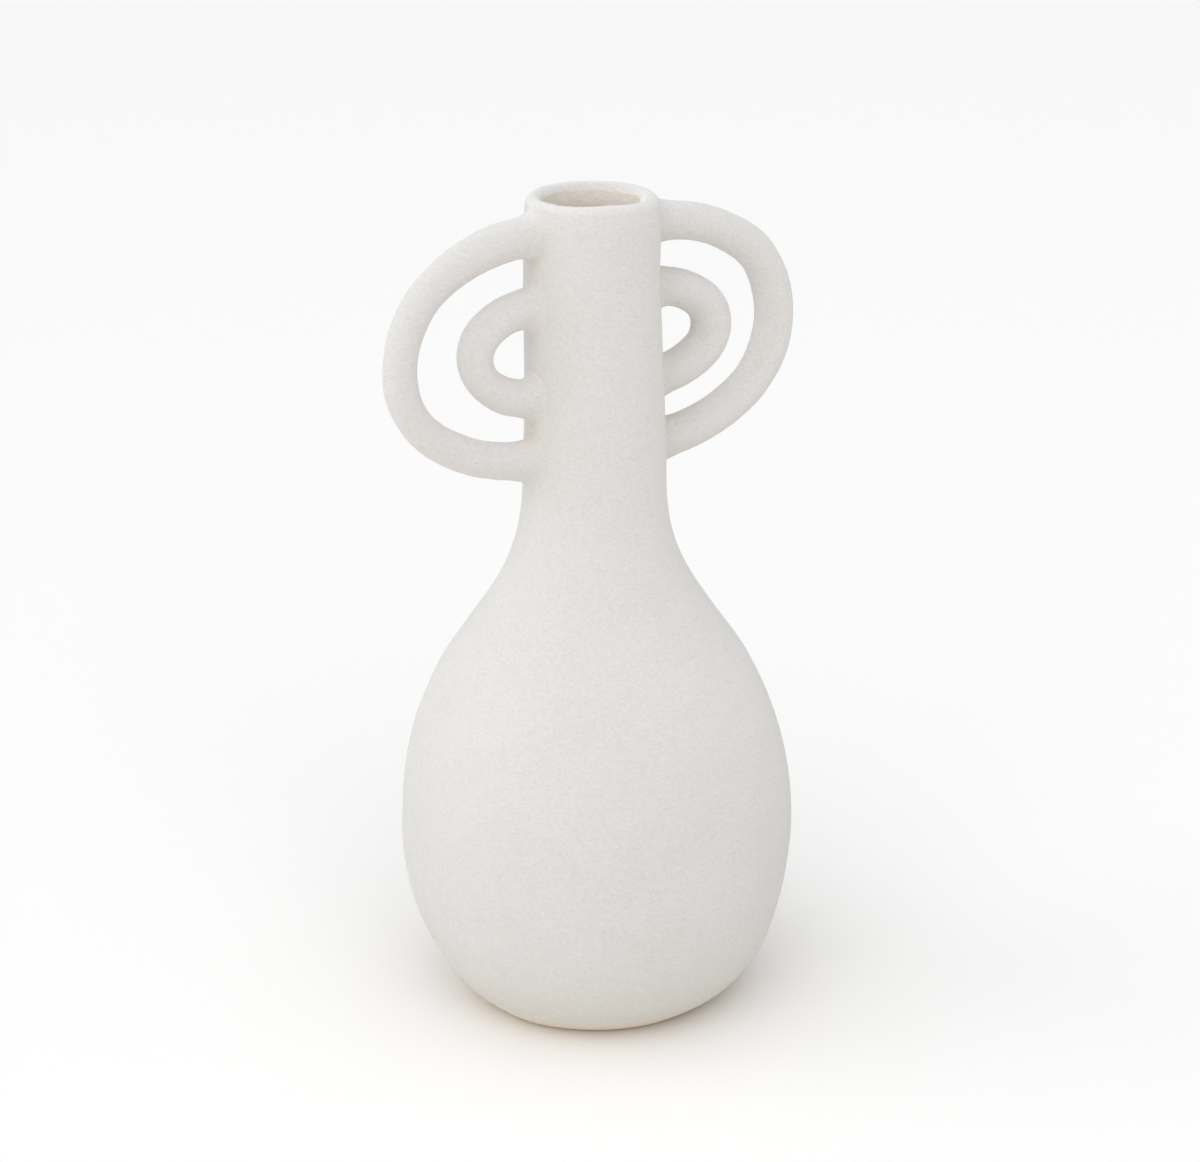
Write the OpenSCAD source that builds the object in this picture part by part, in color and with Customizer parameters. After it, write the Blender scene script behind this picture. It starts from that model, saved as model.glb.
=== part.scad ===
// Two-handled ceramic bud vase: a pear-shaped belly, a tall neck and a pair of nested loop
// handles on each side. It is drawn as the clay pieces that a potter makes and lutes together,
// with the glaze that seals the inside. Millimetres, +Z up, origin at the middle of the foot,
// handles in the XZ plane.

/* [Body] */
// Overall height, foot to lip
height = 220; // [219:0.5:232]
// Radius of the flat foot
foot_r = 31.5; // [30:0.5:35]
// Slope of the wall where it leaves the foot, degrees above the table
foot_slope = 30; // [26:1:34]
// Radius of the belly at its widest
belly_r = 52.7; // [50:0.1:56]
// Height of the widest part of the belly
belly_z = 48; // [45:0.5:52]
// Radius of the shoulder where its curve turns from convex to hollow
shoulder_r = 39.8; // [38:0.1:41]
// Height of that turn
shoulder_z = 96.4; // [94:0.1:99]
// Direction of the wall at that turn, degrees above the table, past upright
shoulder_lean = 121.7; // [119:0.1:124]

/* [Neck] */
// Radius of the neck where it leaves the shoulder
neck_base_r = 18.8; // [18.4:0.1:20]
// Height of that joint
neck_base_z = 145; // [142:1:146]
// Radius of the neck under the lip, and of the rounded lip itself
lip_r = 17.3; // [17:0.1:17.6]
// Radius of the mouth and of the bore below it
mouth_r = 13; // [12:0.1:13.4]
// Height of the lip piece
lip_h = 4; // [3.5:0.1:4.1]

/* [Walls] */
// Thickness of the floor above the recess
floor_t = 6; // [5:0.5:8]
// Depth of the recess under the floor
recess_h = 1.2; // [0.6:0.1:2]
// Width of the foot ring round the recess
foot_ring_w = 8; // [6:0.5:12]
// Thickness of the belly wall
belly_wall = 5; // [4:0.1:6]
// Thickness of the glaze inside
glaze_t = 0.4; // [0.3:0.1:0.6]
// How far below the top of the lip the glaze stops, leaving bare clay round the mouth
glaze_stop = 16; // [10:1:40]

/* [Handles] */
// Radius of the rolled coil that the handles are made from
coil_r = 5; // [4.6:0.1:5]
// Height of the middle of both loops
loop_z = 181.7; // [181:0.1:181.9]
// How far the outer loop's coil stands out from the neck axis, at its middle line
outer_reach = 56.2; // [53:0.1:60]
// Half the height of the outer loop, at its middle line
outer_half = 29; // [28:0.1:29]
// How far the inner loop's coil stands out
inner_reach = 35.4; // [34.4:0.1:36]
// Half the height of the inner loop
inner_half = 11.7; // [11.4:0.1:12.4]
// Radius of the soft clay smoothed into the corner round each handle root
fillet_r = 3; // [2:0.1:3]

/* [Hidden] */
$fn = 96;

CURVE_STEPS = 20;            // straight steps in each curve of the profile
LEFT = -1;
RIGHT = 1;
TOP = 1;
BOTTOM = -1;
OUTER = [outer_reach, outer_half];
INNER = [inner_reach, inner_half];
clay_bore_r = mouth_r + glaze_t;   // the clay stands back by the glaze, so the bore is even
glaze_z = height - glaze_stop;
lip_z = height - lip_h;      // joint between neck and lip
lip_round = (lip_r - mouth_r) / 2;
foot_wall = floor_t / cos(foot_slope);   // sets the wall's first inside point level with the floor
neck_wall = neck_base_r - clay_bore_r;
root_out = 2;                // straight length of coil outside the neck before an arm starts to curve
root_in = 4;                 // straight length inside, which the neck then cuts off
arm_start = lip_r + root_out;
fillet_back = 0.8;           // the neck curves away, so a fillet starts this far behind its front
fillet_edge = 0.3;           // thickness of a fillet's thin outer end

// Radius of the neck at a height, by its straight taper.
function neck_r(z) = neck_base_r + (lip_r - neck_base_r) * (z - neck_base_z) / (lip_z - neck_base_z);
function along(r, z, angle, length) = [r + length * cos(angle), z + length * sin(angle)];

// The outside of the wall as three cubic curves. Each pull is how far a curve's end holds its
// direction: the distance from the end to its control point.
foot_pull = 16.5;
belly_pull_down = 20.4;
belly_pull_up = 21;
shoulder_pull_down = 14;
shoulder_pull_up = 18.6;
neck_pull = 24;
FOOT_TO_BELLY = [[foot_r, 0], along(foot_r, 0, foot_slope, foot_pull),
                 [belly_r, belly_z - belly_pull_down], [belly_r, belly_z]];
BELLY_TO_SHOULDER = [[belly_r, belly_z], [belly_r, belly_z + belly_pull_up],
                     along(shoulder_r, shoulder_z, shoulder_lean, -shoulder_pull_down),
                     [shoulder_r, shoulder_z]];
SHOULDER_TO_NECK = [[shoulder_r, shoulder_z],
                    along(shoulder_r, shoulder_z, shoulder_lean, shoulder_pull_up),
                    [neck_base_r, neck_base_z - neck_pull], [neck_base_r, neck_base_z]];

function curve_point(c, t) =
    pow(1 - t, 3) * c[0] + 3 * pow(1 - t, 2) * t * c[1] + 3 * (1 - t) * t * t * c[2] + pow(t, 3) * c[3];
function curve_direction(c, t) =
    pow(1 - t, 2) * (c[1] - c[0]) + 2 * (1 - t) * t * (c[2] - c[1]) + t * t * (c[3] - c[2]);
function outward(v) = [v[1], -v[0]] / norm(v);
function mix(a, b, t) = a + (b - a) * t;
function reversed(list) = [for (i = [len(list) - 1:-1:0]) list[i]];
function after_first(list) = [for (i = [1:len(list) - 1]) list[i]];

// Points along a curve of the wall. depth_0 and depth_1 are how deep below the outside they lie at
// the curve's two ends.
function wall_points(c, depth_0, depth_1) =
    [for (i = [0:CURVE_STEPS]) let (t = i / CURVE_STEPS)
        curve_point(c, t) - mix(depth_0, depth_1, t) * outward(curve_direction(c, t))];

// From the belly's widest part to the neck, likewise.
function upper_points(depth, neck_depth) = concat(
    wall_points(BELLY_TO_SHOULDER, depth, depth),
    after_first(wall_points(SHOULDER_TO_NECK, depth, neck_depth)));

module base_slab() {
    recess_r = foot_r - foot_ring_w;
    wall_start = wall_points(FOOT_TO_BELLY, foot_wall, belly_wall)[0];
    color("ivory") rotate_extrude()
        polygon([[0, recess_h], [recess_r - recess_h, recess_h], [recess_r, 0], [foot_r, 0],
                 wall_start, [0, wall_start[1]]]);
}

module lower_belly() {
    color("ivory") rotate_extrude() polygon(concat(
        wall_points(FOOT_TO_BELLY, 0, 0),
        reversed(wall_points(FOOT_TO_BELLY, foot_wall, belly_wall))));
}

module upper_belly() {
    color("ivory") rotate_extrude()
        polygon(concat(upper_points(0, 0), reversed(upper_points(belly_wall, neck_wall))));
}

module neck() {
    color("ivory") rotate_extrude()
        polygon([[clay_bore_r, neck_base_z], [neck_base_r, neck_base_z], [lip_r, lip_z],
                 [mouth_r, lip_z], [mouth_r, glaze_z], [clay_bore_r, glaze_z]]);
}

module lip() {
    side_h = lip_h - lip_round;
    color("ivory") rotate_extrude() translate([mouth_r, lip_z]) {
        square([2 * lip_round, side_h]);
        intersection() {
            translate([lip_round, side_h]) circle(r = lip_round);
            translate([0, side_h]) square([2 * lip_round, lip_round]);
        }
    }
}

// The neck and lip filled in, to trim what is luted onto them.
module neck_core() {
    low_z = neck_base_z - fillet_r;
    translate([0, 0, low_z]) cylinder(h = lip_z - low_z, r1 = neck_r(low_z), r2 = lip_r);
    translate([0, 0, lip_z]) cylinder(h = lip_h, r = lip_r);
}

// The part of a coil ring, standing in the XZ plane, that lies in a wedge of that plane.
module coil_arc(bend_r, wedge) {
    rotate([90, 0, 0]) intersection() {
        rotate_extrude() translate([bend_r, 0]) circle(r = coil_r);
        translate([0, 0, -2 * coil_r]) linear_extrude(4 * coil_r) polygon(wedge * 2 * bend_r);
    }
}

// Half an oval of three arcs, with straight roots that run into the neck. Each arm bends until it
// falls 3 for every 4 that it goes out, and the tip's arc takes over from there.
module loop_coil(size) {
    half = size[1];
    tip_r = (3 * half - (size[0] - arm_start)) / 2;
    arm_r = 5 * half - 4 * tip_r;
    meeting = [0.6, 0.8];
    translate([size[0] - tip_r, 0, 0])
        coil_arc(tip_r, [[0, 0], [meeting[0], -meeting[1]], [1, -1], [1, 1], meeting]);
    for (up = [TOP, BOTTOM]) mirror([0, 0, up == BOTTOM ? 1 : 0]) {
        translate([arm_start, 0, half - arm_r]) coil_arc(arm_r, [[0, 0], meeting, [0.6, 1], [0, 1]]);
        translate([lip_r - root_in, 0, half]) rotate([0, 90, 0])
            cylinder(h = root_in + root_out, r = coil_r);
    }
}

module on_side(side) {
    translate([0, 0, loop_z]) rotate([0, 0, side == LEFT ? 180 : 0]) children();
}

module handle(side, size) {
    color("ivory") difference() {
        on_side(side) loop_coil(size);
        neck_core();
    }
}

// Soft clay smoothed into the corner round a handle's root.
module root_fillet(side, size, up) {
    rim_r = coil_r + fillet_edge + fillet_r;
    root_z = up * size[1];
    color("ivory") difference() {
        on_side(side) translate([neck_r(loop_z + root_z) - fillet_back, 0, root_z])
            rotate([0, 90, 0]) rotate_extrude() difference() {
                translate([0, -root_in]) square([rim_r, root_in + fillet_r]);
                translate([rim_r, fillet_r]) circle(r = fillet_r);
            }
        on_side(side) loop_coil(size);
        neck_core();
    }
}

// The glaze follows the clay's inside from the floor up into the neck.
module inside_glaze() {
    clay_side = concat(wall_points(FOOT_TO_BELLY, foot_wall, belly_wall),
                       after_first(upper_points(belly_wall, neck_wall)));
    free_side = concat(wall_points(FOOT_TO_BELLY, foot_wall + glaze_t, belly_wall + glaze_t),
                       after_first(upper_points(belly_wall + glaze_t, neck_wall + glaze_t)));
    floor_r = clay_side[0][0];
    floor_z = clay_side[0][1];
    color("white") rotate_extrude() polygon(concat(
        [[0, floor_z]], clay_side, [[clay_bore_r, glaze_z], [mouth_r, glaze_z]],
        reversed([for (p = free_side) if (p[1] > floor_z + glaze_t) p]),
        [[floor_r - glaze_t, floor_z + glaze_t], [0, floor_z + glaze_t]]));
}

base_slab();
lower_belly();
upper_belly();
neck();
lip();
handle(LEFT, OUTER);  // outer_handle_left
handle(LEFT, INNER);  // inner_handle_left
handle(RIGHT, OUTER);  // outer_handle_right
handle(RIGHT, INNER);  // inner_handle_right
root_fillet(LEFT, OUTER, TOP);  // root_fillet_outer_left_top
root_fillet(LEFT, INNER, TOP);  // root_fillet_inner_left_top
root_fillet(LEFT, INNER, BOTTOM);  // root_fillet_inner_left_bottom
root_fillet(LEFT, OUTER, BOTTOM);  // root_fillet_outer_left_bottom
root_fillet(RIGHT, OUTER, TOP);  // root_fillet_outer_right_top
root_fillet(RIGHT, INNER, TOP);  // root_fillet_inner_right_top
root_fillet(RIGHT, INNER, BOTTOM);  // root_fillet_inner_right_bottom
root_fillet(RIGHT, OUTER, BOTTOM);  // root_fillet_outer_right_bottom
inside_glaze();
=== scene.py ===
"""The looks of a bud vase with two handles on each side: hand-smoothed clay, a sandy off-white
slip and a plain studio. Sizes are in millimetres and become metres when a mesh is made."""
import math

import bpy
import numpy as np
from mathutils import Matrix, Vector


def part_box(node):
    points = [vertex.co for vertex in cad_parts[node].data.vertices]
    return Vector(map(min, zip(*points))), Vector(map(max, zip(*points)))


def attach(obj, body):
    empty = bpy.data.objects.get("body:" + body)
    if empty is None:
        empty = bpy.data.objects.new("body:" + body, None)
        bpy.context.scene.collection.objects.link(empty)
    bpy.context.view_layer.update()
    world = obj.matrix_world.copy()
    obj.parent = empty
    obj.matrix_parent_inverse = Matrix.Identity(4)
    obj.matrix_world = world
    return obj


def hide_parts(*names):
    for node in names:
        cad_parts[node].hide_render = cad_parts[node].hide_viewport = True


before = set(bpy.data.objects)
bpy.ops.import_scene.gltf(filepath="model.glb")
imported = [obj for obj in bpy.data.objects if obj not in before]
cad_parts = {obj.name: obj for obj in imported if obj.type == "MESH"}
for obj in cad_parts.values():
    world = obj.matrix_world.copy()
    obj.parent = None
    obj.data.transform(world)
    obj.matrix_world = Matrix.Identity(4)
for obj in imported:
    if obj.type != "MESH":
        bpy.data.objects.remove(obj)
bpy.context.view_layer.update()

MM = 0.001
LEFT, RIGHT = -1, 1
TOP, BOTTOM = 1, -1


# ---------------------------------------------------------------- sizes taken from the frame

def box_mm(node):
    """Lowest and highest corner of a CAD node, in millimetres, to a tenth."""
    return [np.round(np.array(corner) / MM, 1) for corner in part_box(node)]


LIP_LOW, LIP_HIGH = box_mm("lip")
NECK_LOW, NECK_HIGH = box_mm("neck")
HEIGHT, LIP_Z, LIP_R = LIP_HIGH[2], LIP_LOW[2], LIP_HIGH[0]
NECK_BASE_Z, NECK_BASE_R = NECK_LOW[2], NECK_HIGH[0]
BELLY_R, BELLY_Z = box_mm("lower_belly")[1][[0, 2]]
FOOT_R, FLOOR_Z = box_mm("base_slab")[1][[0, 2]]
GLAZE_Z = box_mm("inside_glaze")[1][2]
OUTER_LOW, OUTER_HIGH = box_mm("outer_handle_right")
INNER_LOW, INNER_HIGH = box_mm("inner_handle_right")
COIL_R = OUTER_HIGH[1]
LOOP_Z = (OUTER_LOW[2] + OUTER_HIGH[2]) / 2

# ---------------------------------------------------------------- sizes that part.scad also holds

MOUTH_R = 13.0
GLAZE_T = 0.4
BELLY_WALL = 5.0
RECESS_H = 1.2
FOOT_RING_W = 8.0
FOOT_SLOPE = math.radians(30)
SHOULDER = np.array([39.8, 96.4])       # where the wall turns from convex to hollow: radius, height
SHOULDER_LEAN = math.radians(121.7)
ROOT_OUT = 2.0                          # straight coil outside the neck before an arm bends
FOOT_PULL, BELLY_PULL_DOWN, BELLY_PULL_UP = 16.5, 20.4, 21       # how far each end of the wall's
SHOULDER_PULL_DOWN, SHOULDER_PULL_UP, NECK_PULL = 14, 18.6, 24   # curves holds its direction
FOOT_WALL = FLOOR_Z / math.cos(FOOT_SLOPE)
CLAY_BORE_R = MOUTH_R + GLAZE_T
NECK_WALL = NECK_BASE_R - CLAY_BORE_R
LIP_ROUND = (LIP_R - MOUTH_R) / 2
ARM_START = LIP_R + ROOT_OUT

# ---------------------------------------------------------------- fineness and hand-made touches

AROUND = 384             # points round the body
COIL_AROUND = 72         # points round a coil
COIL_STEP = 0.55         # distance between the rings of a coil
ROOT_RINGS = 5           # rings of a coil's straight root
FILLET_AROUND = 120      # points round a root fillet
FILLET_RINGS = 22        # rings of its hollow face
TUCKED_RINGS = 6         # rings of its hidden face
FOOT_EDGE = 1.0          # width of the softened edge of the foot
GLAZE_THINS = 1.0        # height over which the glaze runs out at its upper edge
SINK = 0.005             # how far a fillet's thin edges run below the clay they meet
TUCK = 0.6               # how far a fillet's hidden face starts back from its edge on the coil
HIDDEN_GAP = 0.3         # how far hidden faces lie inside their neighbours


# ---------------------------------------------------------------- the hand-made surface

class Push:
    """A place where the clay was moved by hand: by a shift that fades over a distance each way."""

    def __init__(self, centre, spread, shift):
        self.centre, self.spread, self.shift = np.array(centre), np.array(spread), np.array(shift)

    def __call__(self, p):
        """How much of the shift points p take, and the gradient of that."""
        away = (p - self.centre) / self.spread
        weight = np.exp(-(away**2).sum(-1))
        return weight, -2 * weight[..., None] * away / self.spread


class Waves:
    """A smooth random field in space: a sum of plane waves with lengths in a given range."""

    def __init__(self, seed, shortest, longest, amplitude, count=28):
        rng = np.random.default_rng(seed)
        direction = rng.normal(size=(count, 3))
        direction /= np.linalg.norm(direction, axis=1)[:, None]
        length = np.exp(rng.uniform(math.log(shortest), math.log(longest), count))
        self.k = direction * (2 * math.pi / length)[:, None]
        self.phase = rng.uniform(0, 2 * math.pi, count)
        self.size = amplitude * math.sqrt(2 / count)

    def __call__(self, p):
        """The field and its gradient at points p."""
        value = np.zeros(p.shape[:-1])
        slope = np.zeros(p.shape)
        for k, phase in zip(self.k, self.phase):
            angle = p @ k + phase
            value += np.sin(angle)
            slope += np.cos(angle)[..., None] * k
        return value * self.size, slope * self.size


SWAY = [Waves(seed, 60, 140, 0.22) for seed in (11, 12)]   # the whole pot out of true, in X and Y
PUSHES = [Push((0, 0, 12), (300, 300, 13), (0.80, -0.49, 0)),          # the foot sits to one side
          Push((13, -8, 220), (12, 12, 8), (-0.25, 0.15, -0.7)),       # the lip slopes down here
          Push((-14, 9, 219), (8, 8, 5), (0.25, -0.15, -0.2)),         # and isn't quite round
          Push((11, -7, 219), (3.5, 3.5, 4), (-0.8, 0.5, 0)),
          Push((-11, -7, 219), (7, 7, 5), (-0.10, -0.10, -0.40)),
          Push((0, 0, 196), (25, 25, 22), (-0.20, 0.12, 0)),           # the neck leans a little
          Push((14, -10, 185), (9, 9, 28), (-0.25, 0.15, 0)),
          Push((58, 0, 180), (12, 10, 14), (-0.45, 0, 0)),             # dents in the right handles
          Push((49, 0, 202), (10, 10, 10), (0.30, 0, 0.30)),
          Push((29, 0, 211), (9, 10, 8), (0, 0, -0.15)),
          Push((39, 0, 187), (7, 10, 8), (0.35, 0, 0.15)),
          Push((25, 0, 150), (8, 10, 7), (0, 0, -0.50)),
          Push((-57, 0, 172), (13, 10, 17), (-0.60, 0, -0.25)),        # dents in the left handles
          Push((-26, 0, 214), (8, 10, 5), (0, 0, 0.45)),
          Push((-30, 0, 152), (18, 10, 7), (0, 0, 0.45)),
          Push((-36, 0, 172), (8, 10, 9), (0.65, 0, 0.40)),
          Push((-20, 0, 186), (5, 10, 5), (0, 0, -0.50))]
PRESSED = Waves(21, 14, 34, 0.07)                          # where fingers and a rib have pressed
GRAIN = Waves(31, 2.4, 4.2, 0.014, 40)                     # the slip's coarse grain


def by_hand(points, normals, grain=True):
    """Moves a true surface to a hand-made one, and turns its normals with it."""
    for field in [PRESSED] + ([GRAIN] if grain else []):
        height, slope = field(points)
        across = slope - (slope * normals).sum(-1, keepdims=True) * normals
        points = points + height[..., None] * normals
        normals = normals - across
    moved = points.copy()
    turned = normals.copy()
    for push in PUSHES:
        weight, slope = push(points)
        moved += weight[..., None] * push.shift
        turned -= slope * (normals @ push.shift)[..., None]
    for axis, field in enumerate(SWAY):
        shift, slope = field(points)
        moved[..., axis] += shift
        turned -= slope * normals[..., axis:axis + 1]
    return moved, turned / np.linalg.norm(turned, axis=-1, keepdims=True)


# ---------------------------------------------------------------- meshes from rings

def place_in_scene(name, data):
    thing = bpy.data.objects.new(name, data)
    bpy.context.scene.collection.objects.link(thing)
    return thing


def stitch(grids, ring_shaped):
    """Vertices, four-sided faces and the normals at their corners, from grids as in build_mesh."""
    vertices, faces, corner_normals = [], [], []
    around = grids[0][0].shape[1]
    step = np.roll(np.arange(around), -1)
    total, last_ring, first_ring = 0, None, None
    for g, (points, normals) in enumerate(grids):
        for i in range(len(points)):
            if i == 0 and g > 0:
                ring = last_ring
            elif ring_shaped and g == len(grids) - 1 and i == len(points) - 1:
                ring = first_ring
            else:
                pole = not ring_shaped and np.ptp(points[i], axis=0).max() < 1e-9
                new = points[i][:1] if pole else points[i]
                ring = np.full(around, total) if pole else total + np.arange(around)
                vertices.append(new)
                total += len(new)
            if first_ring is None:
                first_ring = ring
            if i > 0:
                below = last_ring
                faces.append(np.stack([below, below[step], ring[step], ring], axis=1))
                n0, n1 = normals[i - 1], normals[i]
                corner_normals.append(np.stack([n0, n0[step], n1[step], n1], axis=1))
            last_ring = ring
    return np.concatenate(vertices), np.concatenate(faces), np.concatenate(corner_normals)


def build_mesh(name, grids, ring_shaped):
    """A closed mesh from grids of (points, normals), each rings x around x 3, one after another.

    Each grid starts on the ring where the last one ended. The last ring of all is the first one
    again if ring_shaped, and otherwise the first and last rings are single points."""
    vertices, faces, corner_normals = stitch(grids, ring_shaped)
    keep = np.ones(faces.shape, bool)          # a face on a pole drops its doubled corner
    keep[:, 1] &= faces[:, 1] != faces[:, 0]
    keep[:, 3] &= faces[:, 3] != faces[:, 2]
    sizes = keep.sum(axis=1)
    mesh = bpy.data.meshes.new(name)
    mesh.vertices.add(len(vertices))
    mesh.vertices.foreach_set("co", (vertices * MM).ravel())
    mesh.loops.add(int(sizes.sum()))
    mesh.loops.foreach_set("vertex_index", faces[keep].astype(np.int32))
    mesh.polygons.add(len(faces))
    mesh.polygons.foreach_set("loop_start", (np.cumsum(sizes) - sizes).astype(np.int32))
    mesh.polygons.foreach_set("use_smooth", np.ones(len(faces), bool))
    mesh.update(calc_edges=True)
    mesh.validate()
    mesh.normals_split_custom_set(corner_normals[keep].tolist())
    return place_in_scene(name, mesh)


def bridge(ring_a, ring_b):
    """A flat strip between two rings, with its own normals."""
    along = ring_b - ring_a
    round_it = np.roll(ring_a, -1, axis=0) - np.roll(ring_a, 1, axis=0)
    round_b = np.roll(ring_b, -1, axis=0) - np.roll(ring_b, 1, axis=0)
    normal = np.cross(round_it + round_b, along)
    normal /= np.maximum(np.linalg.norm(normal, axis=-1, keepdims=True), 1e-12)
    return np.stack([ring_a, ring_b]), np.stack([normal, normal])


def hand_over(piece, node, finish):
    """The piece stands for a CAD node and takes a finish."""
    piece.data.materials.append(MATERIALS[finish])
    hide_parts(node)
    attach(piece, "root")


# ---------------------------------------------------------------- outlines of the turned body

def aim(start, angle, length):
    """The point at a distance from start, in a direction."""
    return np.array(start) + length * np.array([math.cos(angle), math.sin(angle)])


FOOT_TO_BELLY = [(FOOT_R, 0), aim((FOOT_R, 0), FOOT_SLOPE, FOOT_PULL),
                 (BELLY_R, BELLY_Z - BELLY_PULL_DOWN), (BELLY_R, BELLY_Z)]
BELLY_TO_SHOULDER = [(BELLY_R, BELLY_Z), (BELLY_R, BELLY_Z + BELLY_PULL_UP),
                     aim(SHOULDER, SHOULDER_LEAN, -SHOULDER_PULL_DOWN), SHOULDER]
SHOULDER_TO_NECK = [SHOULDER, aim(SHOULDER, SHOULDER_LEAN, SHOULDER_PULL_UP),
                    (NECK_BASE_R, NECK_BASE_Z - NECK_PULL), (NECK_BASE_R, NECK_BASE_Z)]


def bezier(control, t):
    """Points of a cubic curve and its directions."""
    c = [np.array(p, float) for p in control]
    t = np.asarray(t)[:, None]
    point = (1 - t)**3 * c[0] + 3 * (1 - t)**2 * t * c[1] + 3 * (1 - t) * t**2 * c[2] + t**3 * c[3]
    way = (1 - t)**2 * (c[1] - c[0]) + 2 * (1 - t) * t * (c[2] - c[1]) + t**2 * (c[3] - c[2])
    return point, way / np.linalg.norm(way, axis=1)[:, None]


def outward(way):
    """The outward side of a direction that goes up the wall."""
    return np.stack([way[:, 1], -way[:, 0]], axis=-1)


def evenly(control, *, spacing, skip=0.0):
    """Parameters of a curve at even distances, leaving out its first stretch."""
    fine = np.linspace(0, 1, 2001)
    point, _ = bezier(control, fine)
    length = np.concatenate([[0], np.cumsum(np.hypot(*np.diff(point, axis=0).T))])
    count = int(math.ceil((length[-1] - skip) / spacing))
    return np.interp(np.linspace(skip, length[-1], count + 1), length, fine)


def wall(control, depth_0=0.0, depth_1=0.0, *, spacing, skip=0.0):
    """Outline of a wall's outside, or of a surface below it by depth_0 to depth_1."""
    t = evenly(control, spacing=spacing, skip=skip)
    point, way = bezier(control, t)
    depth = depth_0 + (depth_1 - depth_0) * t
    return point - depth[:, None] * outward(way), outward(way)


def line(start, end, *, spacing):
    """Outline of a straight stretch, outward on the right of its way."""
    start, end = np.array(start, float), np.array(end, float)
    length = np.linalg.norm(end - start)
    t = np.linspace(0, 1, int(math.ceil(length / spacing)) + 1)[:, None]
    way = np.tile((end - start) / length, (len(t), 1))
    return start + (end - start) * t, outward(way)


def arc(centre, radius, from_angle, to_angle, *, spacing):
    """Outline of a round stretch, outward away from its centre."""
    count = int(math.ceil(abs(to_angle - from_angle) * radius / spacing))
    angle = np.linspace(from_angle, to_angle, count + 1)
    side = np.stack([np.cos(angle), np.sin(angle)], axis=-1)
    return np.array(centre) + radius * side, side


def joined(*outlines):
    """One outline from several that follow each other smoothly."""
    points = [outlines[0][0]] + [o[0][1:] for o in outlines[1:]]
    normals = [outlines[0][1]] + [o[1][1:] for o in outlines[1:]]
    return np.concatenate(points), np.concatenate(normals)


def backwards(outline):
    """The same outline traced from its other end, so that it faces the other way."""
    return outline[0][::-1], -outline[1][::-1]


ANGLES = np.linspace(0, 2 * math.pi, AROUND, endpoint=False)


def turn(outline, lift=None):
    """A grid of the outline turned round the axis. lift raises each point by angle."""
    (r, z), (nr, nz) = outline[0].T, outline[1].T
    ones = np.ones(AROUND)
    points = np.stack([np.outer(r, np.cos(ANGLES)), np.outer(r, np.sin(ANGLES)), np.outer(z, ones)],
                      axis=-1)
    normals = np.stack([np.outer(nr, np.cos(ANGLES)), np.outer(nr, np.sin(ANGLES)),
                        np.outer(nz, ones)], axis=-1)
    if lift is not None:
        points[..., 2] += lift
    return points, normals


def seen(outline, lift=None):
    """A turned grid of a surface that shows, with its hand-made touches."""
    return by_hand(*turn(outline, lift))


def hidden(outline):
    """A turned grid of a surface that another piece covers."""
    return by_hand(*turn(outline), grain=False)


def link(grids):
    """Puts flat strips between grids that don't meet, so that they follow on."""
    out = [grids[0]]
    for grid in grids[1:]:
        out.append(bridge(out[-1][0][-1], grid[0][0]))
        out.append(grid)
    return out


def ring_solid(name, grids):
    """A closed solid round the axis from grids that go round its section."""
    chain = link(grids)
    chain.append(bridge(chain[-1][0][-1], chain[0][0][0]))
    return build_mesh(name, chain, ring_shaped=True)


# ---------------------------------------------------------------- the turned pieces

def glaze_line():
    """Height of the glaze's edge round the bore: it was poured out, so it isn't level."""
    return 0.5 * np.sin(ANGLES + 0.7) + 0.22 * np.sin(3 * ANGLES + 2.1) + 0.12 * np.sin(7 * ANGLES)


def fade(count):
    """From 1 at the first ring to 0 at the last, softly."""
    t = np.linspace(0, 1, count)[:, None]
    return 1 - t * t * (3 - 2 * t)


def make_base_slab():
    # the recess comes down to the foot ring in a soft bend
    ring_r = FOOT_R - FOOT_RING_W
    bend = [(ring_r - 1.6, RECESS_H), (ring_r - 0.9, RECESS_H), (ring_r - 0.6, 0), (ring_r + 0.2, 0)]
    # the softened edge is a curve from flat on the table to the wall's own slope
    edge_end_at = evenly(FOOT_TO_BELLY, spacing=1, skip=FOOT_EDGE)[:1]
    edge_end, edge_way = (v[0] for v in bezier(FOOT_TO_BELLY, edge_end_at))
    edge = [(FOOT_R - FOOT_EDGE, 0), (FOOT_R - 0.35 * FOOT_EDGE, 0),
            edge_end - 0.4 * FOOT_EDGE * edge_way, edge_end]
    under = joined(line((0, RECESS_H), bend[0], spacing=1.2), wall(bend, spacing=0.25),
                   line(bend[-1], edge[0], spacing=0.8), wall(edge, spacing=0.15))
    points, normals = seen(under)
    points[..., 2] = np.maximum(points[..., 2], 0)
    inside_corner = wall(FOOT_TO_BELLY, FOOT_WALL, BELLY_WALL, spacing=1)[0][0]
    top = hidden((np.array([inside_corner, (0, inside_corner[1])]), np.array([(0, 1), (0, 1)])))
    return build_mesh("base_slab_clay", link([(points, normals), top]), ring_shaped=False)


def make_lower_belly():
    outside = seen(wall(FOOT_TO_BELLY, spacing=0.7, skip=FOOT_EDGE))
    inside = hidden(backwards(wall(FOOT_TO_BELLY, FOOT_WALL, BELLY_WALL, spacing=2)))
    return ring_solid("lower_belly_clay", [outside, inside])


def make_upper_belly():
    outside = seen(joined(wall(BELLY_TO_SHOULDER, spacing=0.7), wall(SHOULDER_TO_NECK, spacing=0.65)))
    inside = hidden(backwards(joined(wall(BELLY_TO_SHOULDER, BELLY_WALL, BELLY_WALL, spacing=2),
                                     wall(SHOULDER_TO_NECK, BELLY_WALL, NECK_WALL, spacing=2))))
    return ring_solid("upper_belly_clay", [outside, inside])


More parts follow.
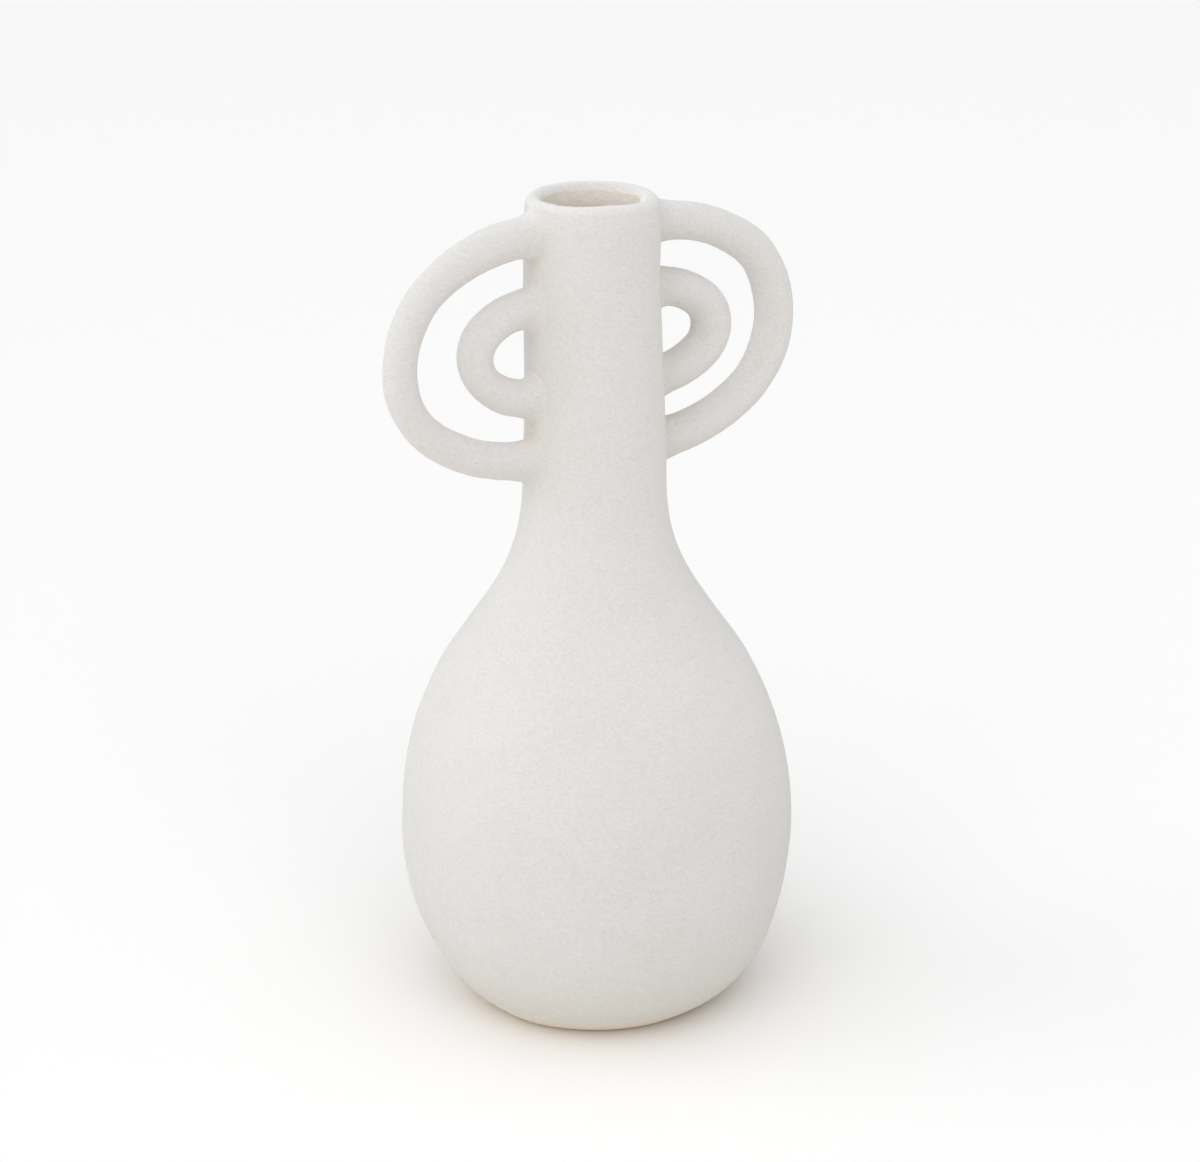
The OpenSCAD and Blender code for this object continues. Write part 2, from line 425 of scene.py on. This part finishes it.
def make_neck():
    outside = seen(line((NECK_BASE_R, NECK_BASE_Z), (LIP_R, LIP_Z), spacing=0.6))
    bore = line((MOUTH_R, LIP_Z), (MOUTH_R, GLAZE_Z), spacing=0.6)
    bare_bore = seen(bore, lift=(1 - fade(len(bore[0]))) * glaze_line())
    behind_glaze = hidden(line((CLAY_BORE_R, GLAZE_Z - GLAZE_THINS), (CLAY_BORE_R, NECK_BASE_Z),
                               spacing=4))
    return ring_solid("neck_clay", [outside, bare_bore, behind_glaze])


def make_lip():
    round_z = HEIGHT - LIP_ROUND
    profile = joined(line((LIP_R, LIP_Z), (LIP_R, round_z), spacing=0.35),
                     arc((LIP_R - LIP_ROUND, round_z), LIP_ROUND, 0, math.pi, spacing=0.3),
                     line((MOUTH_R, round_z), (MOUTH_R, LIP_Z), spacing=0.35))
    points, normals = seen(profile)
    points[..., 2] = np.minimum(points[..., 2], HEIGHT)
    return ring_solid("lip_clay", [(points, normals)])


def inside_outline(extra, *, spacing):
    """The inside of the body from the floor's corner to the neck, extra millimetres further in."""
    foot, belly, neck = FOOT_WALL + extra, BELLY_WALL + extra, NECK_WALL + extra
    return joined(wall(FOOT_TO_BELLY, foot, belly, spacing=spacing),
                  wall(BELLY_TO_SHOULDER, belly, belly, spacing=spacing),
                  wall(SHOULDER_TO_NECK, belly, neck, spacing=spacing))


def make_inside_glaze():
    # its back runs along the clay, from the middle of the floor up to where it thins out
    clay_bore = line((CLAY_BORE_R, NECK_BASE_Z), (CLAY_BORE_R, GLAZE_Z - GLAZE_THINS), spacing=6)
    back = joined(inside_outline(0, spacing=4), clay_bore)
    back = (np.concatenate([[(0, FLOOR_Z)], back[0]]), np.concatenate([[(0, -1)], back[1]]))
    # its free face has a soft cove where the wall meets the floor, and no grain
    face_z = FLOOR_Z + GLAZE_T
    face, face_out = inside_outline(GLAZE_T, spacing=1.6)
    above = face[:, 1] > face_z + 0.3
    cove_top = face[above][0]
    cove_r = cove_top[0] - 2.2
    cove = [(cove_r, face_z), (cove_r + 1.2, face_z), aim(cove_top, FOOT_SLOPE, -0.8), cove_top]
    floor = line((0, face_z), cove[0], spacing=2)
    bore = line((MOUTH_R, NECK_BASE_Z), (MOUTH_R, GLAZE_Z), spacing=1.2)
    face = backwards(joined(floor, wall(cove, spacing=0.4), (face[above], face_out[above]), bore))
    lift = np.zeros((len(face[0]), 1))
    lift[:len(bore[0])] = fade(len(bore[0]))
    free = by_hand(*turn(face, lift=lift * glaze_line()), grain=False)
    return build_mesh("inside_glaze_skin", link([hidden(back), free]), ring_shaped=False)


# ---------------------------------------------------------------- handles

def neck_surface(z):
    """Radius of the neck and lip at heights z."""
    taper = NECK_BASE_R + (LIP_R - NECK_BASE_R) * (z - NECK_BASE_Z) / (LIP_Z - NECK_BASE_Z)
    round_z = HEIGHT - LIP_ROUND
    over = np.clip((z - round_z) / LIP_ROUND, 0, 1)
    lip = LIP_R - LIP_ROUND + LIP_ROUND * np.sqrt(1 - over**2)
    return np.where(z < LIP_Z, taper, lip)


def neck_front(y, z):
    """How far out the neck's surface is at points beside its middle line."""
    return np.sqrt(neck_surface(z)**2 - y**2)


class Loop:
    """The middle line of a handle: half an oval of three arcs, whose arms leave the neck level."""

    def __init__(self, low, high, as_made, root_length):
        self.half = (high[2] - low[2]) / 2 - COIL_R
        self.reach = high[0] - COIL_R - as_made["short"]
        self.z = LOOP_Z - as_made["lower"]
        self.coil_root_r, self.coil_tip_r = as_made["root_r"], as_made["tip_r"]
        self.root_length = root_length
        # the centres of an arm's arc and of the tip's arc lie 3 out and 4 up from each other, so
        # that the two arcs meet smoothly at that angle
        self.tip_arc_r = (3 * self.half - (self.reach - ARM_START)) / 2
        self.arm_arc_r = 5 * self.half - 4 * self.tip_arc_r
        self.arm_angle = math.atan2(3, 4)
        self.arm_length = self.arm_arc_r * self.arm_angle
        self.length = 2 * self.arm_length + self.tip_arc_r * (math.pi - 2 * self.arm_angle)

    def at(self, s):
        """Points (out, up) and directions of the middle line, s from the top arm's start."""
        s = np.asarray(s, float)
        upper = np.minimum(s, self.length - s)
        mirrored = np.where(s > self.length / 2, -1.0, 1.0)
        on_arm = upper < self.arm_length
        turned = np.where(on_arm, upper / self.arm_arc_r,
                          self.arm_angle + (upper - self.arm_length) / self.tip_arc_r)
        radius = np.where(on_arm, self.arm_arc_r, self.tip_arc_r)
        centre_out = np.where(on_arm, ARM_START, self.reach - self.tip_arc_r)
        centre_up = np.where(on_arm, self.half - self.arm_arc_r, 0)
        out = centre_out + radius * np.sin(turned)
        up = (centre_up + radius * np.cos(turned)) * mirrored
        way = np.stack([np.cos(turned) * mirrored, -np.sin(turned)], axis=-1)
        return np.stack([out, up], axis=-1), way

    def bent(self, flat, off):
        """Where a point of a level arm goes as the arm bends: its distance out and its new offset.

        flat is its distance out, and off its offset to the loop's outer side."""
        angle = np.clip(flat - ARM_START, 0, None) / self.arm_arc_r
        out = np.minimum(flat, ARM_START) + (self.arm_arc_r + off) * np.sin(angle)
        return out, (self.arm_arc_r + off) * np.cos(angle) - self.arm_arc_r


# How each coil as it was rolled and put on differs from the drawing: its radius at the roots and
# at the tip, how much lower it sits, and how much less far it reaches.
AS_MADE = {("outer", LEFT): {"root_r": 4.9, "tip_r": 4.25, "lower": 0.0, "short": -0.15},
           ("outer", RIGHT): {"root_r": 5.05, "tip_r": 5.1, "lower": 0.1, "short": 0.1},
           ("inner", LEFT): {"root_r": 4.8, "tip_r": 4.55, "lower": 0.55, "short": 0.3},
           ("inner", RIGHT): {"root_r": 5.15, "tip_r": 5.25, "lower": 0.2, "short": -0.2}}
# Soft clay smoothed round the roots: how far it runs along the coil, and how far over the neck
# on the loop's inner side, on its outer side and beside it.
FILLET = {("outer", TOP): {"along": 8.5, "inner": 1.2, "outer": 3.2, "beside": 0.9},
          ("outer", BOTTOM): {"along": 8.5, "inner": 1.3, "outer": 3.6, "beside": 1.0},
          ("inner", TOP): {"along": 6.0, "inner": 3.0, "outer": 2.0, "beside": 1.0},
          ("inner", BOTTOM): {"along": 6.0, "inner": 2.0, "outer": 3.2, "beside": 1.0}}
SHORTER_BESIDE = 0.65    # the share of its run along the coil that it lacks beside the loop
# How far a rolled coil strays sideways and outwards, and by what share it swells.
STRAYS_SIDEWAYS, STRAYS_OUTWARDS, SWELLS = 0.35, 0.15, 0.018


def to_side(points, side):
    """From the drawing's (out, across, up) to the row frame, on one side of the neck."""
    return points * np.array([side, side, 1.0])


def make_handle(name, side, loop, seed):
    """A rolled coil bent along the loop, its ends cut to the neck."""
    rng = np.random.default_rng(seed)
    s = np.linspace(0, loop.length, int(loop.length / COIL_STEP))
    middle, way = loop.at(s)
    outer = np.stack([-way[:, 1], way[:, 0]], axis=-1)       # in the loop's plane, to its outer side
    past_root = (s - loop.root_length) / (loop.length - 2 * loop.root_length)
    ease = np.sin(math.pi * np.clip(past_root, 0, 1))**1.5    # the roots stay as they are drawn
    a, b, c, d = rng.uniform(0, 2 * math.pi, 4)

    def wave(length, phase):
        return np.sin(2 * math.pi * s / length + phase)

    sideways = STRAYS_SIDEWAYS * ease * wave(0.9 * loop.length, a)
    outwards = STRAYS_OUTWARDS * ease * wave(0.6 * loop.length, b)
    swell = 1 + SWELLS * ease * (wave(37, c) + 0.6 * wave(17, d))
    middle = middle + outwards[:, None] * outer
    ring = np.linspace(0, -2 * math.pi, COIL_AROUND, endpoint=False)
    cos, sin = np.cos(ring), np.sin(ring)
    normal = np.stack([outer[:, :1] * cos, np.tile(sin, (len(s), 1)), outer[:, 1:] * cos], axis=-1)
    centre = np.stack([middle[:, 0], sideways, middle[:, 1]], axis=-1)[:, None, :]
    radius = (loop.coil_root_r + (loop.coil_tip_r - loop.coil_root_r) * ease) * swell
    points = centre + radius[:, None, None] * normal

    def root(first_ring, first_normal):
        """The straight root of an arm, from the arm's first ring to just inside the neck."""
        end = first_ring.copy()
        end[:, 0] = neck_front(end[:, 1], end[:, 2] + loop.z) - HIDDEN_GAP
        t = np.linspace(0, 1, ROOT_RINGS + 1)[1:, None, None]
        return first_ring + (end - first_ring) * t, np.tile(first_normal, (ROOT_RINGS, 1, 1))

    top_root, top_normal = root(points[0], normal[0])
    low_root, low_normal = root(points[-1], normal[-1])
    points = np.concatenate([top_root[::-1], points, low_root])
    normal = np.concatenate([top_normal[::-1], normal, low_normal])
    points[..., 2] += loop.z
    points, normal = by_hand(to_side(points, side), to_side(normal, side))
    grids = [cap(points[0], to_ring=True), (points, normal), cap(points[-1], to_ring=False)]
    return build_mesh(name, grids, ring_shaped=False)


def cap(ring, to_ring):
    """A fan between a ring and a point at its middle."""
    point = np.tile(ring.mean(axis=0), (len(ring), 1))
    return bridge(point, ring) if to_ring else bridge(ring, point)


def make_root_fillet(name, side, loop, up, size):
    """Soft clay in the corner round a root: hollow, and level with the neck and coil at its edges."""
    radius = loop.coil_root_r
    root_z = loop.z + up * loop.half
    ring = np.linspace(0, 2 * math.pi, FILLET_AROUND, endpoint=False)

    def place(ring, off, along):
        """Points at angles round the coil, off from its middle and along it from the neck."""
        y, z = off * np.cos(ring), off * np.sin(ring)
        out, bent_off = loop.bent(neck_front(y, root_z + z) + along, up * z)
        return np.stack([out, y, root_z + up * bent_off], axis=-1)

    def runs(ring):
        """How far the soft clay runs over the neck and along the coil, at angles round the coil."""
        outer = np.clip(up * np.sin(ring), 0, 1)**2
        inner = np.clip(-up * np.sin(ring), 0, 1)**2
        beside = 1 - outer - inner
        over = size["outer"] * outer + size["inner"] * inner + size["beside"] * beside
        return over, size["along"] * (1 - SHORTER_BESIDE * beside)

    def surface(ring, t, sink=0.0):
        """t runs from 0, on the neck, to a right angle, on the coil."""
        over, along = runs(ring)
        off = radius + over * (1 - np.sin(t)) - sink * np.sin(t)
        return place(ring, off, along * (1 - np.cos(t)) - sink * np.cos(t))

    t = np.linspace(0, math.pi / 2, FILLET_RINGS)[:, None]
    points = surface(ring, t, SINK)
    # its normals, from two short steps along the true surface
    tiny = 1e-4
    along = surface(ring, np.minimum(t + tiny, math.pi / 2)) - surface(ring, np.maximum(t - tiny, 0))
    round_it = surface(ring + tiny, t) - surface(ring - tiny, t)
    normal = np.cross(round_it, along)
    normal /= np.linalg.norm(normal, axis=-1, keepdims=True)
    chain = [by_hand(to_side(points, side), to_side(normal, side))]
    # hidden faces: back inside the coil, then out again inside the neck
    away = to_side(np.stack([0 * ring, np.cos(ring), np.sin(ring)], axis=-1), side)
    start = runs(ring)[1] - TUCK
    for part in np.linspace(0, 1, TUCKED_RINGS):
        back = start - (start + HIDDEN_GAP) * part
        deep, _ = by_hand(to_side(place(ring, radius - HIDDEN_GAP, back), side), away, grain=False)
        chain.append(bridge(chain[-1][0][-1], deep))
    chain.append(bridge(chain[-1][0][-1], chain[0][0][0]))
    return build_mesh(name, chain, ring_shaped=True)


# ---------------------------------------------------------------- materials

# Pairs of colours go from the darker to the paler, or down the bore. Tints multiply the slip.
GRAIN_COLOURS = (0.618, 0.588, 0.554), (0.728, 0.698, 0.666)
CLOUD_COLOURS = (0.660, 0.630, 0.596), (0.683, 0.659, 0.634)
ROSY_NECK = (0.678, 0.641, 0.613)
# the bare bore's clay, near the mouth and further down: the darkening down the bore is painted shade
BARE_BORE_AND_DEPTH_SHADE = (0.870, 0.812, 0.742), (0.620, 0.480, 0.365)
# painted shade and warm bounced light for corners and crevices
WARM_PAINTED_SHADE_IN_CORNERS = (0.700, 0.606, 0.484)
# painted light on the lip's top
LIP_PAINTED_LIGHT = (1.03, 1.04, 1.05)
# painted shade low on the belly, painted warm bounced light lower still, and painted light at the
# foot's edge
FOOT_PAINTED_SHADE_AND_LIGHT = ((85, (0.922, 0.920, 0.912)),      # each fades in from this height down to the foot
              (28, (0.992, 0.972, 0.920)),
              (8, (1.080, 1.080, 1.075)))
CREAM_GLAZE = (0.70, 0.64, 0.54), (0.79, 0.74, 0.65)
WHITE_FLOOR = (0.95, 0.915, 0.88)


class Look:
    """A material and its nodes."""

    def __init__(self, name, roughness):
        self.material = bpy.data.materials.new(name)
        self.material.use_nodes = True
        self.nodes, self.links = self.material.node_tree.nodes, self.material.node_tree.links
        self.shader = self.nodes["Principled BSDF"].inputs
        self.shader["Roughness"].default_value = roughness

    def place(self):
        """Where the shaded point is, in metres in the row frame."""
        return self.nodes.new("ShaderNodeTexCoord").outputs["Object"]

    def height(self, place):
        apart = self.nodes.new("ShaderNodeSeparateXYZ")
        self.links.new(place, apart.inputs["Vector"])
        return apart.outputs["Z"]

    def from_axis(self, place):
        """How far the shaded point is from the vase's axis, in metres."""
        level = self.nodes.new("ShaderNodeVectorMath")
        level.operation = "MULTIPLY"
        level.inputs[1].default_value = (1, 1, 0)
        self.links.new(place, level.inputs[0])
        length = self.nodes.new("ShaderNodeVectorMath")
        length.operation = "LENGTH"
        self.links.new(level.outputs["Vector"], length.inputs[0])
        return length.outputs["Value"]

    def maths(self, operation, a, b):
        node = self.nodes.new("ShaderNodeMath")
        node.operation = operation
        self.links.new(a, node.inputs[0])
        self.links.new(b, node.inputs[1])
        return node.outputs[0]

    def noise(self, place, size, detail, roughness):
        """A noise whose blobs are about size millimetres across."""
        node = self.nodes.new("ShaderNodeTexNoise")
        node.inputs["Scale"].default_value = 1 / (size * MM)
        node.inputs["Detail"].default_value = detail
        node.inputs["Roughness"].default_value = roughness
        self.links.new(place, node.inputs["Vector"])
        return node.outputs["Fac"]

    def spread(self, value, low, high):
        """From 0 where the value is low to 1 where it is high."""
        node = self.nodes.new("ShaderNodeMapRange")
        node.inputs["From Min"].default_value = low
        node.inputs["From Max"].default_value = high
        self.links.new(value, node.inputs["Value"])
        return node.outputs["Result"]

    def blend(self, factor, colour_a, colour_b, how="MIX"):
        node = self.nodes.new("ShaderNodeMix")
        node.data_type = "RGBA"
        node.blend_type = how
        for name, value in (("Factor", factor), ("A", colour_a), ("B", colour_b)):
            socket = [i for i in node.inputs if i.name == name and i.enabled][0]
            if isinstance(value, float):
                socket.default_value = value
            elif isinstance(value, tuple):
                socket.default_value = (*value, 1)
            else:
                self.links.new(value, socket)
        return [o for o in node.outputs if o.enabled][0]

    def relief(self, height, strength, depth):
        """Bumps about depth millimetres high."""
        bump = self.nodes.new("ShaderNodeBump")
        bump.inputs["Strength"].default_value = strength
        bump.inputs["Distance"].default_value = depth * MM
        self.links.new(height, bump.inputs["Height"])
        self.links.new(bump.outputs["Normal"], self.shader["Normal"])


def make_bare_clay():
    """Dry off-white slip over pale clay, with a fine sandy grain."""
    look = Look("bare_clay", roughness=0.88)
    look.shader["Specular IOR Level"].default_value = 0.25
    look.shader["Diffuse Roughness"].default_value = 0.6
    place = look.place()
    height = look.height(place)

    def between(low, high):
        """From 0 at one height in millimetres to 1 at another."""
        return look.spread(height, low * MM, high * MM)

    # the grain is a little wider than it is high, from wiping round on the wheel
    wiped = look.nodes.new("ShaderNodeMapping")
    wiped.inputs["Scale"].default_value = (1, 1, 1.5)
    look.links.new(place, wiped.inputs["Vector"])
    fine = look.noise(wiped.outputs["Vector"], 1.0, 2.0, 0.6)
    coarse = look.noise(wiped.outputs["Vector"], 2.6, 2.0, 0.5)
    grain = look.blend(look.spread(fine, 0.3, 0.7), *GRAIN_COLOURS)
    clouds = look.blend(look.spread(look.noise(place, 28, 3.0, 0.5), 0.35, 0.65), *CLOUD_COLOURS)
    clouds = look.blend(between(NECK_BASE_Z - 35, NECK_BASE_Z + 5), clouds, ROSY_NECK)
    slip = look.blend(0.5, grain, clouds)
    # painted shade and light towards the foot: darker, then warmer lower down, for the shade and warm
    # light bounced up near the floor, and paler at the very edge, as if lit from below
    for starts, tint in FOOT_PAINTED_SHADE_AND_LIGHT:
        slip = look.blend(between(starts, 0), slip, tint, "MULTIPLY")
    # painted light: the lip is made paler, as its lit top looks
    slip = look.blend(between(HEIGHT - 7, HEIGHT - 2), slip, LIP_PAINTED_LIGHT, "MULTIPLY")
    # none of it reached the bore, whose bare clay is warmer; it is made darker and browner further
    # down, painted shade deeper in the bore
    bore = look.blend(between(HEIGHT - 4, HEIGHT - 13), *BARE_BORE_AND_DEPTH_SHADE)
    near_axis = look.spread(look.from_axis(place), (MOUTH_R + 0.9) * MM, (MOUTH_R + 0.3) * MM)
    in_bore = look.maths("MULTIPLY", near_axis, between(HEIGHT - 0.5, HEIGHT - 2))
    colour = look.blend(in_bore, slip, bore)
    # painted shade: a warmer, darker colour where occlusion finds corners and crevices, standing in
    # for the shade and warm bounced light there
    corner = look.nodes.new("ShaderNodeAmbientOcclusion")
    corner.samples = 6
    corner.inputs["Distance"].default_value = 7.5 * MM
    colour = look.blend(look.spread(corner.outputs["AO"], 0.85, 0.35), colour, WARM_PAINTED_SHADE_IN_CORNERS)
    look.links.new(colour, look.shader["Base Color"])
    look.relief(look.maths("ADD", fine, coarse), strength=1.0, depth=0.23)
    return look.material


def make_clear_glaze():
    """Satin cream glaze, clouded where it pooled, with a faint ripple."""
    look = Look("clear_glaze", roughness=0.28)
    place = look.place()
    colour = look.blend(look.spread(look.noise(place, 22, 3.0, 0.5), 0.3, 0.7), *CREAM_GLAZE)
    look.links.new(colour, look.shader["Base Color"])
    look.relief(look.noise(place, 6, 2.0, 0.5), strength=0.6, depth=0.12)
    return look.material


MATERIALS = {"bare_clay": make_bare_clay(), "clear_glaze": make_clear_glaze()}

# ---------------------------------------------------------------- the vase

for node, make, finish in (("base_slab", make_base_slab, "bare_clay"),
                           ("lower_belly", make_lower_belly, "bare_clay"),
                           ("upper_belly", make_upper_belly, "bare_clay"),
                           ("neck", make_neck, "bare_clay"),
                           ("lip", make_lip, "bare_clay"),
                           ("inside_glaze", make_inside_glaze, "clear_glaze")):
    hand_over(make(), node, finish)

for side_name, side in (("left", LEFT), ("right", RIGHT)):
    for loop_name, low, high, seed in (("outer", OUTER_LOW, OUTER_HIGH, 41),
                                       ("inner", INNER_LOW, INNER_HIGH, 43)):
        loop = Loop(low, high, AS_MADE[loop_name, side], FILLET[loop_name, TOP]["along"])
        node = f"{loop_name}_handle_{side_name}"
        hand_over(make_handle(f"{node}_coil", side, loop, seed + side), node, "bare_clay")
        for up_name, up in (("top", TOP), ("bottom", BOTTOM)):
            node = f"root_fillet_{loop_name}_{side_name}_{up_name}"
            fillet = make_root_fillet(f"{node}_clay", side, loop, up, FILLET[loop_name, up])
            hand_over(fillet, node, "bare_clay")

# ---------------------------------------------------------------- studio

FLOOR_HALF = 6.0                    # metres
# The camera's distance from the axis and its height, in metres, and how far round from the front.
CAMERA_DISTANCE, CAMERA_HEIGHT = 0.750, 0.3798
VIEW_TURN = math.radians(31.35)
PITCH, YAW, ROLL = (math.radians(v) for v in (19.368, 0.100, -0.286))
LENS, SENSOR = 90.33, 36.0
HORIZON, SKY = 1.08, 0.43           # brightness at the horizon and overhead
GLOW_TOP = 0.22                     # sine of the elevation where the horizon's brightness ends
DAYLIGHT = (0.93, 0.965, 1.0)       # a little cool, so that the warm clay looks off-white


def make_floor():
    corners = [(x * FLOOR_HALF, y * FLOOR_HALF, 0) for x, y in ((-1, -1), (1, -1), (1, 1), (-1, 1))]
    mesh = bpy.data.meshes.new("floor")
    mesh.from_pydata(corners, [], [(0, 1, 2, 3)])
    look = Look("floor", roughness=0.45)
    look.shader["Base Color"].default_value = (*WHITE_FLOOR, 1)
    mesh.materials.append(look.material)
    place_in_scene("floor", mesh)


def make_camera():
    data = bpy.data.cameras.new("camera")
    data.lens, data.sensor_width = LENS, SENSOR
    data.clip_start, data.clip_end = 0.01, 50
    camera = place_in_scene("camera", data)
    # before the turn the camera is at -Y and looks along +Y
    aim_it = (Matrix.Rotation(-YAW, 4, "Z") @ Matrix.Rotation(math.pi / 2 - PITCH, 4, "X")
              @ Matrix.Rotation(ROLL, 4, "Z"))
    stand = Matrix.Translation((0, -CAMERA_DISTANCE, CAMERA_HEIGHT))
    camera.matrix_world = Matrix.Rotation(-VIEW_TURN, 4, "Z") @ stand @ aim_it
    bpy.context.scene.camera = camera


def make_sky():
    """An even sky that brightens to white at the horizon, where it meets the white floor."""
    world = bpy.data.worlds.new("studio")
    world.use_nodes = True
    nodes, links = world.node_tree.nodes, world.node_tree.links
    apart = nodes.new("ShaderNodeSeparateXYZ")
    links.new(nodes.new("ShaderNodeTexCoord").outputs["Generated"], apart.inputs["Vector"])
    strength = nodes.new("ShaderNodeMapRange")
    strength.interpolation_type = "SMOOTHSTEP"
    for name, value in (("From Min", 0), ("From Max", GLOW_TOP), ("To Min", HORIZON), ("To Max", SKY)):
        strength.inputs[name].default_value = value
    links.new(apart.outputs["Z"], strength.inputs["Value"])
    background = nodes["Background"]
    background.inputs["Color"].default_value = (*DAYLIGHT, 1)
    links.new(strength.outputs["Result"], background.inputs["Strength"])
    bpy.context.scene.world = world


def soft_light(name, azimuth, elevation, width, strength):
    """A broad, even light from far away. Azimuth runs from the camera's side to the view's right."""
    data = bpy.data.lights.new(name, "SUN")
    data.energy, data.angle, data.color = strength, math.radians(width), DAYLIGHT
    around, up = math.radians(azimuth) - VIEW_TURN, math.radians(elevation)
    towards = Vector((math.sin(around) * math.cos(up), -math.cos(around) * math.cos(up), math.sin(up)))
    place_in_scene(name, data).rotation_euler = (-towards).to_track_quat("-Z", "Y").to_euler()


make_floor()
make_camera()
make_sky()
soft_light("overhead", azimuth=0, elevation=80, width=100, strength=1.47)
soft_light("left_window", azimuth=-88, elevation=15, width=60, strength=0.84)
soft_light("front_fill", azimuth=-5, elevation=30, width=80, strength=1.23)
bpy.context.scene.view_settings.view_transform = "Standard"
